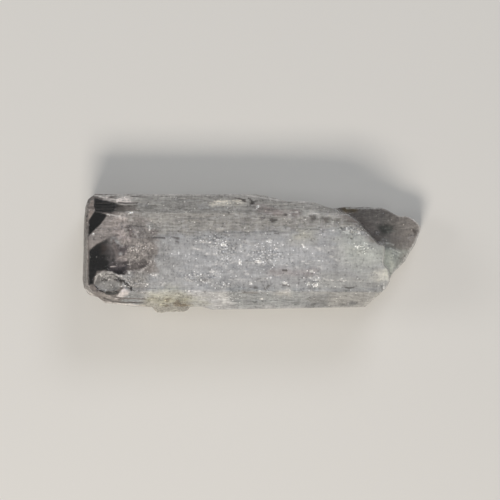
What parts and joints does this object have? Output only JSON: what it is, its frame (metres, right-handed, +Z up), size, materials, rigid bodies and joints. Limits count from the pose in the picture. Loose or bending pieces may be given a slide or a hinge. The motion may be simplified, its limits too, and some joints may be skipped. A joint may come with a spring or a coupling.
{
  "type": "danburite crystal",
  "caption": "Stout prismatic mineral crystal lying on its side, clear at its whole end, milky and striated along its length, with a thin broken tongue at the other end.",
  "frame": {"origin": "on the surface that the crystal lies on, under the middle of its bounding box", "axes": "+X along the prism from the whole end to the broken end, +Y to the back, +Z up out of the broad top face"},
  "size_m": [0.06, 0.021, 0.0135],
  "materials": {
    "danburite": "vitreous natural faces, etched and striated, clear to milky, with a tan stained crust"
  },
  "bodies": {
    "root": {"danburite_crystal": "danburite"}
  },
  "joints": []
}
